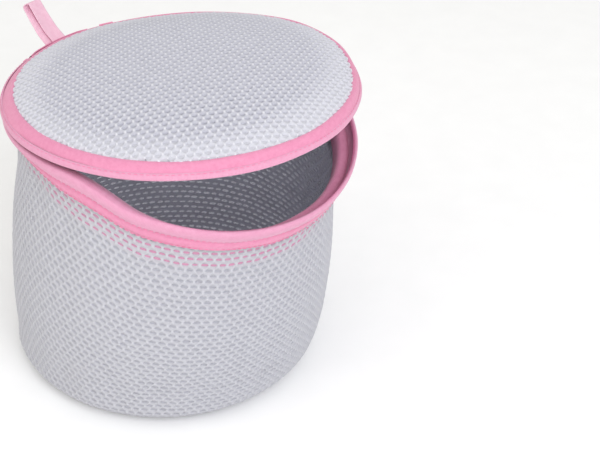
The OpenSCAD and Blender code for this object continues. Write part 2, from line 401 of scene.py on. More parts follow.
def tube(name, points, radius, material, sides=8, closed=False):
    """A round wire along points."""
    points = np.asarray(points, float)
    ahead = np.roll(points, -1, 0) - np.roll(points, 1, 0)
    if not closed:
        ahead[0], ahead[-1] = points[1] - points[0], points[-1] - points[-2]
    ahead /= np.linalg.norm(ahead, axis=1, keepdims=True)
    side = np.cross(ahead, UP)
    weak = np.linalg.norm(side, axis=1) < 0.05
    side[weak] = np.cross(ahead[weak], [1.0, 0, 0])
    for i in range(1, len(points)):
        carried = side[i - 1] - ahead[i] * (side[i - 1] @ ahead[i])
        if np.linalg.norm(carried) > 1e-6:
            side[i] = carried
        side[i] /= np.linalg.norm(side[i])
    side[0] /= np.linalg.norm(side[0])
    other = np.cross(ahead, side)
    a = np.linspace(0, 2 * math.pi, sides, endpoint=False)
    ring = side[:, None] * np.cos(a)[None, :, None] + other[:, None] * np.sin(a)[None, :, None]
    verts = (points[:, None] + ring * radius).reshape(-1, 3)
    faces = [list(f) for f in grid_faces(len(points), sides, wrap_n=closed, wrap_m=True)]
    if not closed:
        faces.append(list(range(sides))[::-1])
        faces.append(list(range(len(verts) - sides, len(verts))))
    return make(name, verts, faces, material)


STITCH_GAP, STITCH_RAISED, STITCH_SIDES = 3.0 / 96, 0.22, 6
STITCH_SHAPE = ((-0.5, 0.25), (-0.32, 0.9), (0, 1.0), (0.32, 0.9), (0.5, 0.25))


def stitches(name, r, z, out, place, material, length=2.2, width=0.34):
    """Short raised dashes round the bag at one radius and height; out is their (radial, upward) direction."""
    verts, faces = [], []
    for phi in np.arange(0, 2 * math.pi, STITCH_GAP):
        start = len(verts)
        outward = np.array([out[0] * math.sin(phi), -out[0] * math.cos(phi), out[1]])
        upward = np.array([-out[1] * math.sin(phi), out[1] * math.cos(phi), out[0]])
        for along, fat in STITCH_SHAPE:
            centre = around(r, phi + along * length / r, z)
            for t in np.linspace(0, 2 * math.pi, STITCH_SIDES, endpoint=False):
                round_it = upward * math.cos(t) * width + outward * (math.sin(t) * STITCH_RAISED)
                verts.append(centre + round_it * fat)
        last = start + (len(STITCH_SHAPE) - 1) * STITCH_SIDES
        faces += (grid_faces(len(STITCH_SHAPE), STITCH_SIDES, wrap_m=True) + start).tolist()
        faces.append([start + m for m in range(STITCH_SIDES)][::-1])
        faces.append([last + m for m in range(STITCH_SIDES)])
    return make(name, place(np.array(verts)), faces, material)


# ---------------------------------------------------------------- cloth simulation
CLOTH = dict(
    quality=6, mass=0.25, tension_stiffness=12, compression_stiffness=12, shear_stiffness=4,
    bending_stiffness=1.5, air_damping=2,
)
CLOTH_FRAMES = 20
WALL_GRID, WALL_CAP, WALL_SLACK = (132, 48), 2.6, 0.02
LID_GRID, LID_CAP, LID_PRESSURE = (96, 20), 2.4, 4.0


def settle(points, faces, pinned, cap, pressure=0.0, gravity=0.0, slack=0.0):
    """Lets a sheet or pad of cloth settle, and gives each point's move in millimetres, at most cap long."""
    scene = bpy.context.scene
    obj = make("settling", points, faces)
    held = obj.vertex_groups.new(name="held")
    held.add([int(i) for i in pinned], 1.0, "REPLACE")
    cloth = obj.modifiers.new("cloth", "CLOTH")
    for name, value in CLOTH.items():
        setattr(cloth.settings, name, value)
    cloth.settings.shrink_min = -slack
    cloth.settings.vertex_group_mass = "held"
    cloth.settings.effector_weights.gravity = gravity
    if pressure:
        cloth.settings.use_pressure = True
        cloth.settings.uniform_pressure_force = pressure
    cloth.point_cache.frame_start, cloth.point_cache.frame_end = 1, CLOTH_FRAMES
    for frame_number in range(1, CLOTH_FRAMES + 1):
        scene.frame_set(frame_number)
    settled = obj.evaluated_get(bpy.context.evaluated_depsgraph_get()).to_mesh()
    where = np.zeros(len(settled.vertices) * 3)
    settled.vertices.foreach_get("co", where)
    scene.frame_set(1)
    mesh = obj.data
    bpy.data.objects.remove(obj)
    bpy.data.meshes.remove(mesh)
    move = where.reshape(-1, 3) * 1000 - points
    far = np.linalg.norm(move, axis=1, keepdims=True)
    return move * np.minimum(1, cap / np.maximum(far, 1e-9))


def blurred(grid):
    """The moves evened out twice in both directions; the first direction runs round the bag."""
    for _ in range(2):
        grid = (np.roll(grid, 1, 0) + 2 * grid + np.roll(grid, -1, 0)) / 4
        inner = (grid[:, :-2] + 2 * grid[:, 1:-1] + grid[:, 2:]) / 4
        grid = np.concatenate([grid[:, :1], inner, grid[:, -1:]], 1)
    return grid


def settled_wall():
    """The wall hangs slack from the mouth band and stands on its corner."""
    n, m = WALL_GRID
    rounds = np.arange(n) * 2 * math.pi / n
    phi, s = np.meshgrid(rounds, np.linspace(-CORNER_ARC, CLOTH_TOP, m), indexing="ij")
    held = np.arange(n * m).reshape(n, m)[:, [0, 1, 2, 3, 4, m - 1]].ravel()
    faces = grid_faces(n, m, wrap_n=True)
    points = wall_form(phi, s).reshape(-1, 3)
    move = settle(points, faces, held, WALL_CAP, gravity=1.0, slack=WALL_SLACK)
    return blurred(move.reshape(n, m, 3))


def settled_lid():
    """The lid's padding swells between its top net and its lining, sewn down all round."""
    n, m = LID_GRID
    rounds = np.arange(n) * 2 * math.pi / n
    phi, r = np.meshgrid(rounds, np.linspace(SHOULDER_R / m, SHOULDER_R, m), indexing="ij")
    top = lid_form(r * np.cos(phi), r * np.sin(phi))
    low = top - UP * (2.5 + 2.5 * (1 - (r / SHOULDER_R) ** 2))[..., None]
    middles = np.array([[0, 0, dome_z(0.0)], [0, 0, dome_z(0.0) - 5]])
    points = np.concatenate([top.reshape(-1, 3), low.reshape(-1, 3), middles])
    index = np.arange(n * m).reshape(n, m)
    below, top_middle, low_middle = n * m, 2 * n * m, 2 * n * m + 1
    quads = grid_faces(n, m, wrap_n=True)
    faces = quads[:, ::-1].tolist() + (quads + below).tolist()
    for k in range(n):
        here, after = index[k], index[(k + 1) % n]
        faces.append([here[-1], here[-1] + below, after[-1] + below, after[-1]])
        faces.append([here[0], after[0], top_middle])
        faces.append([after[0] + below, here[0] + below, low_middle])
    held = np.concatenate([index[:, -1], index[:, -1] + below])
    move = settle(points, faces, held, LID_CAP, pressure=LID_PRESSURE)
    return blurred(move[:below].reshape(n, m, 3))


WALL_MOVE = settled_wall()
LID_MOVE = settled_lid()


def looked_up(grid, phi, j):
    """A smooth value from a grid of moves, in direction phi and at the whole or part place j."""
    n, m = grid.shape[:2]
    i = phi * n / (2 * math.pi)
    i0, j0 = np.floor(i).astype(int), np.clip(np.floor(j).astype(int), 0, m - 2)
    fi, fj = (i - i0)[..., None], np.clip(j - j0, 0, 1)[..., None]
    a, b = i0 % n, (i0 + 1) % n
    low = grid[a, j0] * (1 - fi) + grid[b, j0] * fi
    high = grid[a, j0 + 1] * (1 - fi) + grid[b, j0 + 1] * fi
    return low * (1 - fj) + high * fj


def wall_point(phi, s):
    """A point of the wall's outer face, with the mouth sagging as it is found."""
    rows = WALL_GRID[1] - 1
    at = np.clip((np.asarray(s, float) + CORNER_ARC) / (CLOTH_TOP + CORNER_ARC) * rows, 0, rows)
    phi, at = np.broadcast_arrays(np.asarray(phi, float), at)
    return wall_form(phi, s) + looked_up(WALL_MOVE, phi, at)


def lid_point(x, y):
    """A point of the lid's outer face, with the lid standing open as it is found."""
    rings = LID_GRID[1]
    phi, r = np.arctan2(y, x), np.hypot(x, y)
    at = r / SHOULDER_R * rings
    move = looked_up(LID_MOVE, np.mod(phi, 2 * math.pi), np.clip(at - 1, 0, rings - 1))
    p = lid_form(x, y) + move * np.clip(at, 0, 1)[..., None]
    p[..., 2] += PAD_UNEVEN * waves(np.arctan2(x, -y), 11) * (r / SHOULDER_R) ** 2
    p[..., :2] += PAD_SHIFT
    return open_lid(p)


def base_point(x, y):
    """A point of the base's underside, which lies on the floor."""
    return lean(np.stack([x, y, 0.25 + BASE_UNEVEN * np.cos(x / 9.0) * np.cos(y / 11.0)], -1))


# ---------------------------------------------------------------- materials
# How deep the bumps of cloth and of plastic are, in metres.
FINE, FINER = 0.0002, 0.0001


class Nodes:
    """A small helper for building a material's node tree."""

    def __init__(self, name):
        self.material = bpy.data.materials.new(name)
        self.material.use_nodes = True
        self.tree = self.material.node_tree
        self.tree.nodes.clear()
        self.out = self.add("ShaderNodeOutputMaterial")

    def add(self, kind, **settings):
        node = self.tree.nodes.new(kind)
        for key, value in settings.items():
            setattr(node, key, value)
        return node

    def link(self, a, b):
        self.tree.links.new(a, b)

    def fill(self, socket, value):
        if isinstance(value, bpy.types.NodeSocket):
            self.link(value, socket)
        else:
            socket.default_value = value

    def put(self, node, **inputs):
        for key, value in inputs.items():
            self.fill(node.inputs[key.replace("_", " ")], value)
        return node

    def math(self, how, *values):
        node = self.add("ShaderNodeMath", operation=how)
        for socket, value in zip(node.inputs, values):
            self.fill(socket, value)
        return node.outputs[0]

    def ramp(self, value, low, high):
        """A colour that runs between two (place, colour) stops."""
        node = self.add("ShaderNodeValToRGB")
        for element, (place, colour) in zip(node.color_ramp.elements, (low, high)):
            element.position, element.color = place, colour
        self.link(value, node.inputs["Fac"])
        return node.outputs["Color"]

    def coordinates(self, kind):
        return self.add("ShaderNodeTexCoord").outputs[kind]

    def noise(self, place, scale, **more):
        return self.put(self.add("ShaderNodeTexNoise"), Vector=place, Scale=scale, **more).outputs["Fac"]

    def bump(self, height, strength, distance=FINE):
        node = self.add("ShaderNodeBump")
        return self.put(node, Strength=strength, Distance=distance, Height=height).outputs[0]

    def principled(self, **inputs):
        return self.put(self.add("ShaderNodeBsdfPrincipled"), **inputs).outputs[0]

    def see_through(self, shader, colour, share):
        """The shader with some of the light shining through the cloth."""
        glow = self.put(self.add("ShaderNodeBsdfTranslucent"), Color=colour)
        mix = self.put(self.add("ShaderNodeMixShader"), Fac=share)
        self.link(shader, mix.inputs[1])
        self.link(glow.outputs[0], mix.inputs[2])
        return mix.outputs[0]

    def finish(self, shader):
        self.link(shader, self.out.inputs[0])
        return self.material


def rgb(r, g, b):
    """A screen colour from 0 to 255 as a linear one."""
    screen = (r / 255, g / 255, b / 255)
    return tuple(((c + 0.055) / 1.055) ** 2.4 if c > 0.04045 else c / 12.92 for c in screen) + (1.0,)


def woven(name, light, dark, thread, bump, twill=False, rough=0.75, sheen=0.25, shine=0.25, through=0.0):
    """Woven cloth. UVs are read as millimetres; thread is the spacing of the threads."""
    n = Nodes(name)
    uv = n.coordinates("UV")
    split = n.add("ShaderNodeSeparateXYZ")
    n.link(uv, split.inputs[0])
    u, v = split.outputs[0], split.outputs[1]
    warp = n.math("SINE", n.math("MULTIPLY", n.math("ADD", u, v) if twill else u, 2 * math.pi / thread))
    weft = n.math("SINE", n.math("MULTIPLY", v, 2 * math.pi / thread))
    level = n.math("MULTIPLY_ADD", n.math("MULTIPLY", warp, weft), 0.5, 0.5)
    uneven = n.noise(uv, 0.35, Detail=4.0, Roughness=0.6)
    mixed = n.math("ADD", n.math("MULTIPLY", level, 0.35), n.math("MULTIPLY", uneven, 0.75))
    colour = n.ramp(mixed, (0.25, dark), (0.75, light))
    shader = n.principled(
        Base_Color=colour, Roughness=rough, Normal=n.bump(level, bump), Sheen_Weight=sheen,
        Sheen_Roughness=0.4, Specular_IOR_Level=shine,
    )
    return n.finish(n.see_through(shader, colour, through) if through else shader)


def painted_highlight_at_crossings(n, uv, cell):
    """1 where a net's strands cross, for a cell of this half width and half height in UVs: the share of
    painted highlight there.
    """
    split = n.add("ShaderNodeSeparateXYZ")
    n.link(uv, split.inputs[0])
    wave_u = n.math("COSINE", n.math("MULTIPLY", split.outputs[0], math.pi / cell[0]))
    wave_v = n.math("COSINE", n.math("MULTIPLY", split.outputs[1], math.pi / cell[1]))
    crossing = n.math("MAXIMUM", n.math("MULTIPLY", n.math("MULTIPLY", wave_u, wave_v), -1.0), 0.0)
    return n.math("POWER", crossing, 2.0)


def painted_highlight_towards_edge(n, uv, edge):
    """Rises between two distances from the UVs' origin: the share of painted highlight towards an edge."""
    far = n.add("ShaderNodeVectorMath", operation="LENGTH")
    n.link(uv, far.inputs[0])
    ramp = n.add("ShaderNodeMapRange", interpolation_type="SMOOTHSTEP")
    n.put(ramp, Value=far.outputs["Value"], From_Min=edge[0], From_Max=edge[1])
    return n.math("MULTIPLY", ramp.outputs[0], 0.42)


def knitted(name, light, dark, scale, bump=0.5, through=0.25, cell=None, knot=None, edge=None):
    """Knitted polyester: fine loops over the strand, in object space. With a cell, (half width, half height)
    in UVs, a painted highlight lightens the yarn where strands cross; with an edge, (from, to) radius in UVs,
    a painted highlight lightens it towards the edge. knot is the colour of that painted highlight."""
    n = Nodes(name)
    place = n.coordinates("Object")
    loops = n.put(n.add("ShaderNodeTexVoronoi"), Vector=place, Scale=scale).outputs["Distance"]
    uneven = n.noise(place, scale * 0.07, Detail=5.0, Roughness=0.6)
    mixed = n.math("ADD", n.math("MULTIPLY", loops, 0.35), n.math("MULTIPLY", uneven, 0.7))
    colour = n.ramp(mixed, (0.2, light), (0.8, dark))
    uv = n.coordinates("UV")
    # Painted highlight: the knot colour is mixed in where strands cross and towards the edge.
    painted_highlight = [painted_highlight_at_crossings(n, uv, cell)] if cell else []
    if edge:
        painted_highlight.append(painted_highlight_towards_edge(n, uv, edge))
    if painted_highlight:
        mix = n.add("ShaderNodeMix", data_type="RGBA")
        n.link(painted_highlight[0] if len(painted_highlight) == 1 else n.math("MAXIMUM", *painted_highlight), mix.inputs["Factor"])
        n.link(colour, mix.inputs["A"])
        mix.inputs["B"].default_value = knot
        colour = mix.outputs["Result"]
    shader = n.principled(
        Base_Color=colour, Roughness=0.8, Normal=n.bump(loops, bump), Sheen_Weight=0.2,
        Sheen_Roughness=0.5, Specular_IOR_Level=0.3,
    )
    return n.finish(n.see_through(shader, colour, through))


def glossy(name, light, dark, rough, coat=0.0):
    """Moulded plastic or lacquered metal with a slight unevenness."""
    n = Nodes(name)
    uneven = n.noise(n.coordinates("Object"), 900.0, Detail=3.0)
    rougher = n.put(n.add("ShaderNodeMapRange"), Value=uneven, To_Min=rough * 0.8, To_Max=rough * 1.25)
    shader = n.principled(
        Base_Color=n.ramp(uneven, (0.3, dark), (0.7, light)), Roughness=rougher.outputs[0],
        Normal=n.bump(uneven, 0.08, FINER), Coat_Weight=coat,
    )
    return n.finish(shader)


def paper(name):
    n = Nodes(name)
    grain = n.noise(n.coordinates("Object"), 40.0, Detail=3.0)
    colour = n.ramp(grain, (0.3, (0.95, 0.95, 0.95, 1)), (0.7, (0.97, 0.97, 0.97, 1)))
    return n.finish(n.principled(Base_Color=colour, Roughness=0.9, Specular_IOR_Level=0.1))


WALL_CELL, LID_CELL = (HALF_PHI, WALL_ROW), (HALF_PITCH, LID_ROW)
# The two colours below are mixed into the yarn where strands cross: painted highlight, dull on the wall and
# base, bright on the lid.
DULL_PAINTED_HIGHLIGHT, BRIGHT_PAINTED_HIGHLIGHT = rgb(216, 216, 223), rgb(246, 246, 252)
FINE_LOOPS, COARSE_LOOPS = 2600, 1900

MAT = {
    "net": knitted(
        "wall_net_yarn", rgb(208, 208, 214), rgb(198, 198, 205), FINE_LOOPS, cell=WALL_CELL, knot=DULL_PAINTED_HIGHLIGHT
    ),
    # The lid's net is also lightened towards its shoulder: painted highlight.
    "lid_net": knitted(
        "lid_net_yarn", rgb(216, 216, 225), rgb(203, 203, 213), FINE_LOOPS, cell=LID_CELL,
        knot=BRIGHT_PAINTED_HIGHLIGHT, edge=(70, 90),
    ),
    "base_net": knitted(
        "base_net_yarn", rgb(208, 208, 213), rgb(198, 198, 204), FINE_LOOPS, cell=LID_CELL, knot=DULL_PAINTED_HIGHLIGHT
    ),
    # The inner face's yarn is painted lighter than the outer net: painted light lifting the shade in the
    # holes and inside the bag.
    "inner": knitted(
        "inner_face_yarn", rgb(222, 222, 231), rgb(212, 212, 221), COARSE_LOOPS, bump=0.6, through=0.52
    ),
    # Towards its edge the lid's inner face is mixed towards the bright colour: painted highlight seen through
    # the holes.
    "lid_inner": knitted(
        "lid_inner_face_yarn", rgb(212, 212, 220), rgb(196, 196, 206), COARSE_LOOPS, bump=0.9, through=0.3,
        knot=BRIGHT_PAINTED_HIGHLIGHT, edge=(68, 88),
    ),
    "binding": woven("pink_binding", rgb(227, 151, 182), rgb(213, 127, 161), thread=0.5, bump=0.5),
    "tape": woven("pink_zip_tape", rgb(222, 161, 188), rgb(212, 141, 171), thread=0.7, bump=0.5, twill=True),
    "deep": woven("deep_pink_binding", rgb(228, 132, 170), rgb(212, 106, 148), thread=0.5, bump=0.5),
    # The binding's back leaf: the pink binding painted darker, painted shade behind the net.
    "leaf": woven("shaded_binding_back", rgb(198, 146, 171), rgb(184, 128, 155), thread=0.5, bump=0.4),
    "thread": woven("pink_thread", rgb(230, 142, 176), rgb(214, 112, 150), thread=0.3, bump=0.3),
    "coil": glossy("pink_coil_nylon", rgb(232, 146, 182), rgb(216, 118, 158), 0.38),
    "slider": glossy("pink_lacquer", rgb(242, 164, 196), rgb(232, 142, 178), 0.3, coat=0.4),
    "boning": glossy("white_hoop_plastic", rgb(240, 240, 235), rgb(222, 222, 216), 0.45),
    "satin": woven(
        "satin_ribbon", rgb(246, 206, 222), rgb(232, 178, 201), thread=0.22, bump=0.08, rough=0.26, sheen=0.2,
        shine=0.8, through=0.15,
    ),
}


def done(obj, slot_name, *replaced, body=None, blend=None):
    """Finishes a piece: hides the CAD parts it replaces, attaches it to the body it moves with, and bakes its
    transform when it has a blend. slot_name is not used.
    """
    if replaced:
        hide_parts(*replaced)
    if body:
        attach(obj, body)
    if blend:
        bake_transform(obj)
    return obj


def staggered(i_range, j_range):
    """A net's cells, every other one of a grid."""
    return np.array([(i, j) for i in i_range for j in j_range if (i + j) % 2 == 0])


# ---------------------------------------------------------------- the padded net wall
# The outer net is two pieces, one over the other, to keep each under the limit on triangles.
SPLIT_ROW = 6
INNER_GAP, LEAF_GAP, LEAF_DEPTH = 0.36, 0.28, 15
# How far each goes up past the foot of the mouth band.
NET_OVER, LEAF_OVER, INNER_OVER = 1, 1.5, 2
wall_net = dict(
    half=(HALF_PHI, WALL_ROW), hole=(1.9 / WALL_R, 0.8), wrap=2 * CELLS_ROUND, height=0.32, depth=1.0,
    step=WALL_STEP, material=MAT["net"],
)
wall_rows = range(int(-CORNER_ARC / WALL_ROW), int((CLOTH_TOP + NET_OVER) / WALL_ROW) + 1)
cells = staggered(wall_rows, range(2 * CELLS_ROUND))[:, ::-1]
wall_lower = net("wall_net_lower", wall_point, cells[cells[:, 1] < SPLIT_ROW], **wall_net)
wall_upper = net("wall_net_upper", wall_point, cells[cells[:, 1] >= SPLIT_ROW], **wall_net)
wall_phi = np.linspace(0, 2 * math.pi, 240, endpoint=False)
inner_rows = np.linspace(-CORNER_ARC, CLOTH_TOP + INNER_OVER, 64)
inner = wall_sheet("wall_inner_face", wall_phi, inner_rows, MAT["inner"], -INNER_GAP)
# The back leaf of the mouth binding lies behind the top of the net and shows through its holes; it is the
# pink binding painted darker, painted shade behind the net.
leaf_rows = np.linspace(CLOTH_TOP - LEAF_DEPTH, CLOTH_TOP + LEAF_OVER, 12)
leaf = wall_sheet("mouth_binding_back", wall_phi, leaf_rows, MAT["leaf"], -LEAF_GAP)
done(wall_lower, "net_wall", "side_wall", blend=WALL_BLEND)
done(wall_upper, "net_wall", blend=WALL_BLEND)
done(inner, "net_wall", blend=WALL_BLEND)
done(leaf, "binding", blend=WALL_BLEND)

# ---------------------------------------------------------------- the base
BASE_NET_LIFT, BASE_INNER_LIFT = 2.2, 3.4
BASE_EDGE = BASE_R + 1
SEAM_ROLL_R, SEAM_ROLL_Z, SEAM_RING_R = 2.3, 6.3, BASE_R - 2.0
span_i, span_j = int(BASE_R / HALF_PITCH) + 2, int(BASE_R / LID_ROW) + 2
cells = staggered(range(-span_i, span_i + 1), range(-span_j, span_j + 1))
in_base = np.hypot(cells[:, 0] * HALF_PITCH, cells[:, 1] * LID_ROW) < BASE_EDGE
base_net = net(
    "base_net", lambda x, y: base_point(x, y) + UP * BASE_NET_LIFT, cells[in_base], LID_CELL, (1.45, 0.9),
    MAT["base_net"], height=-0.5, depth=-0.9, step=BASE_STEP,
)
base_inner = disc(
    "base_inner_face", lambda x, y: base_point(x, y) + UP * BASE_INNER_LIFT, BASE_EDGE, MAT["inner"]
)
done(base_net, "net_wall", "base_panel", body="bag")
done(base_inner, "net_wall", body="bag")

hoop_phi = np.linspace(0, 2 * math.pi, 180, endpoint=False)
uneven_ring = around(SEAM_RING_R, hoop_phi, SEAM_ROLL_Z + 0.25 * waves(hoop_phi, 5))
seam_roll = tube("base_seam_roll", lean(uneven_ring), SEAM_ROLL_R, MAT["deep"], sides=10, closed=True)
base_ring = lean(around(SEAM_RING_R, hoop_phi, SEAM_ROLL_Z + 0 * hoop_phi))
base_hoop = tube("base_hoop", base_ring, BONING_R, MAT["boning"], closed=True)
done(seam_roll, "binding", "base_seam_binding", body="bag")
done(base_hoop, "boning", "base_boning_ring", body="bag")

# The tape over the wall's upright seam, inside at the back.
SEAM_TAPE_HALF, SEAM_TAPE_T, SEAM_TAPE_GAP = 4.5 / 90, 0.6, 1.6
seam_phi = math.pi + np.linspace(-1, 1, 7) * SEAM_TAPE_HALF
seam_rows = np.linspace(4, CLOTH_TOP - 11, 60)
seam_tape = wall_sheet("wall_seam_strip", seam_phi, seam_rows, MAT["deep"], -SEAM_TAPE_GAP, wrap=False)
seam_tape.modifiers.new("thick", "SOLIDIFY").thickness = SEAM_TAPE_T / 1000
done(seam_tape, "binding", "wall_seam_tape", body="bag")


# ---------------------------------------------------------------- the mouth band
def sway_plain(seed, r_by, z_by):
    """Small waves out and up along a sewn strip."""

    def sway(phi, share):
        return r_by * waves(phi, seed, n=7, lowest=5), z_by * waves(phi, seed + 1, n=6, lowest=4)

    return sway


def at_height(section, z):
    return [(r, z + h) for r, h in section]


binding_section = at_height(
    [
        (95.3, -0.8), (96.1, 0.1), (96.7, 1.8), (96.9, 4.0), (96.7, 6.4), (96.0, 7.6), (94.6, 8.1),
        (92.0, 8.1), (90.4, 7.4), (89.6, 5.6), (89.2, 2.4), (89.4, -1.0), (89.9, -2.0), (90.2, -0.6),
        (90.0, 3.0), (90.5, 5.6), (92.0, 7.0), (94.2, 7.0), (95.2, 5.8), (95.7, 3.0), (95.4, 0.2),
    ],
    WALL_TOP,
)
mouth_binding = band("mouth_binding", binding_section, on_rim, MAT["binding"], sway_plain(21, 0.35, 0.3))
done(mouth_binding, "binding", "rim_binding_rear", "rim_binding_front", blend=RIM_BLEND)

tape_section = at_height(
    [
        (96.4, 6.2), (97.2, 7.4), (98.1, 9.2), (98.8, 11.6), (99.1, 13.8), (98.8, 15.6), (98.1, 16.3),
        (97.2, 16.2), (97.0, 15.4), (97.7, 15.4), (98.1, 14.2), (97.9, 11.8), (97.2, 9.4), (96.4, 7.8),
        (95.8, 6.8),
    ],
    WALL_TOP,
)
# The tape's inner edge is between points 7 and 8 of its section.
TAPE_EDGE = 7.5
TAPE_PULLED_IN, TAPE_PULLED_DOWN = 6.5, 0.8


def sway_tape(phi, share):
    """The tape's inner edge lies further in near the ends of the opening, where the zip pulls it over."""
    out, up = sway_plain(31, 0.25, 0.2)(phi, share)
    turn = np.degrees(from_front(phi))
    pulled = smooth((turn - 52) / 22) * (1 - smooth((turn - 118) / 20))
    pulled = pulled * np.clip(1 - np.abs(share * (len(tape_section) - 1) - TAPE_EDGE) / 1.5, 0, 1)
    return out - TAPE_PULLED_IN * pulled, up - TAPE_PULLED_DOWN * pulled


mouth_tape = band("mouth_zip_tape", tape_section, on_rim, MAT["tape"], sway_tape)
done(mouth_tape, "zip_tape", "zip_tape_lower_rear", "zip_tape_lower_front", blend=RIM_BLEND)

COIL_PITCH, COIL_HALF_WIDTH, COIL_HALF_HEIGHT, COIL_HEAD = 1.45, 0.72, 0.95, 0.12
COIL_WIRE_R, COIL_FROM_SEAM, TURN_POINTS = 0.34, 1.5, 9


def coil_path(centre_r, centre_z, up):
    """The nylon coil: a flattened spring with a head on each turn, from end to end round the front."""
    turns = int(2 * (math.pi - COIL_END) * centre_r / COIL_PITCH)
    t = np.arange(turns * TURN_POINTS + 1) / TURN_POINTS
    phi = -(math.pi - COIL_END) + t * COIL_PITCH / centre_r
    a = 2 * math.pi * t
    z = centre_z + up * (COIL_HALF_HEIGHT * np.cos(a) + COIL_HEAD * np.cos(2 * a))
    return around(centre_r + COIL_HALF_WIDTH * np.sin(a), phi, z)


mouth_path = on_rim(coil_path(COIL_R - 0.6, SEAM_Z - COIL_FROM_SEAM, 1))
mouth_coil = tube("mouth_zip_coil", mouth_path, COIL_WIRE_R, MAT["coil"], sides=5)
done(mouth_coil, "zip_coil", "zip_coil_lower_rear", "zip_coil_lower_front", blend=RIM_BLEND)

for name, r, above in (("mouth_stitches_low", 96.9, 1.2), ("mouth_stitches_high", 97.6, 7.9)):
    seam = stitches(name, r, WALL_TOP + above, (1, 0), on_rim, MAT["thread"])
    done(seam, "binding", blend=RIM_BLEND)

# ---------------------------------------------------------------- the lid
LID_NET_R, LID_INNER_R, LINING_R = SHOULDER_R + 2.2, SHOULDER_R + 2.0, SHOULDER_R - 0.5
LINING_GAP = 4.4
turn_cos, turn_sin = math.cos(LID_TURN), math.sin(LID_TURN)
span_i, span_j = int(SHOULDER_R * 1.3 / HALF_PITCH) + 2, int(SHOULDER_R / LID_ROW) + 2
cells = staggered(range(-span_i, span_i + 1), range(-span_j, span_j + 1))
across = cells[:, 0] * HALF_PITCH + LID_SKEW * cells[:, 1] * LID_ROW
in_lid = np.hypot(across, cells[:, 1] * LID_ROW) < LID_NET_R


def net_on_lid(u, v):
    """The net's rows lie turned and slightly skewed on the lid."""
    u = u + LID_SKEW * v
    return lid_point(u * turn_cos - v * turn_sin, u * turn_sin + v * turn_cos)


def inner_gap(r):
    """The inner face lies further below the net in the middle of the lid than at its shoulder."""
    return -1.05 + 0.8 * smooth((r - 66) / 22)


lid_net = net(
    "lid_net", net_on_lid, cells[in_lid], LID_CELL, (1.6, 0.85), MAT["lid_net"], height=0.42, depth=1.0,
    step=LID_STEP,
)
lid_inner = disc("lid_inner_face", lid_point, LID_INNER_R, MAT["lid_inner"], inner_gap)
lid_lining = disc("lid_lining_cloth", lid_point, LINING_R, MAT["inner"], lambda r: 0 * r - LINING_GAP)
done(lid_net, "net_lid", "lid_panel", body="lid")
done(lid_inner, "net_lid", body="lid")
done(lid_lining, "lining", "lid_lining", body="lid")

# The raw edges under the lid's rim are bound, and the hoop that keeps the lid round lies in that binding.
HOOP_R, HOOP_Z = 92.1, SEAM_Z + 1.9
ROLL_OUT, ROLL_DOWN, ROLL_UP = 1.75, 1.7, 2.55
roll_section = []
for a in np.linspace(0, 2 * math.pi, 16, endpoint=False):
    half_height = ROLL_DOWN if math.sin(a) > 0 else ROLL_UP
    roll_section.append((HOOP_R + ROLL_OUT * math.cos(a), HOOP_Z - half_height * math.sin(a)))
lid_binding = band("lid_edge_binding", roll_section, open_lid, MAT["deep"], sway_plain(41, 0.15, 0.15))
done(lid_binding, "binding", "lid_binding", body="lid")
lid_ring = open_lid(around(HOOP_R, hoop_phi, HOOP_Z + 0 * hoop_phi))
lid_hoop = tube("lid_hoop", lid_ring, BONING_R, MAT["boning"], closed=True)
done(lid_hoop, "boning", "lid_boning_ring", body="lid")

# The lid band's outer strip, from the edge of the net to the zip.
upper_strip = at_height(
    [
        (92.2, 7.1), (93.2, 7.9), (94.3, 7.9), (95.6, 6.9), (96.9, 5.5), (98.0, 3.9), (98.3, 3.0),
        (97.6, 2.8), (97.1, 3.6), (96.0, 4.9), (94.8, 6.1), (93.8, 6.9),
    ],
    SEAM_Z,
)
moves_with_pad = np.clip((np.array(upper_strip)[:, 1] - SEAM_Z - 2.5) / 5, 0, 1)


def sway_upper(phi, share):
    """The strip's top edge moves with the padding, and its foot stays with the zip."""
    out, up = sway_plain(51, 0.25, 0.2)(phi, share)
    aside = math.atan2(PAD_SHIFT[0], -PAD_SHIFT[1])
    moved = moves_with_pad[np.round(share * (len(upper_strip) - 1)).astype(int)]
    return out + math.hypot(*PAD_SHIFT) * np.cos(phi - aside) * moved, up


lid_tape = band("lid_zip_tape", upper_strip, lid_rim, MAT["binding"], sway_upper)
done(lid_tape, "zip_tape", "zip_tape_upper", body="lid")

# The zip tape's own edge, which turns in over the coil.
lower_strip = at_height(
    [
        (97.6, 4.0), (98.4, 3.9), (99.2, 2.9), (99.8, 1.6), (99.8, 0.6), (99.2, 0.3), (98.9, 1.0),
        (98.8, 2.0), (98.1, 3.0),
    ],
    SEAM_Z,
)
tape_edge = band("lid_zip_tape_edge", lower_strip, lid_rim, MAT["tape"], sway_plain(52, 0.25, 0.2))
done(tape_edge, "zip_tape", body="lid")
lid_path = open_lid(coil_path(COIL_R, SEAM_Z + COIL_FROM_SEAM, -1))
lid_coil = tube("lid_zip_coil", lid_path, COIL_WIRE_R, MAT["coil"], sides=5)
done(lid_coil, "zip_coil", "zip_coil_upper", body="lid")
lid_seam = stitches(
    "lid_stitches", 98.85, SEAM_Z + 3.45, (0.75, 0.66), lid_rim, MAT["thread"], length=1.9, width=0.24
)
done(lid_seam, "binding", body="lid")

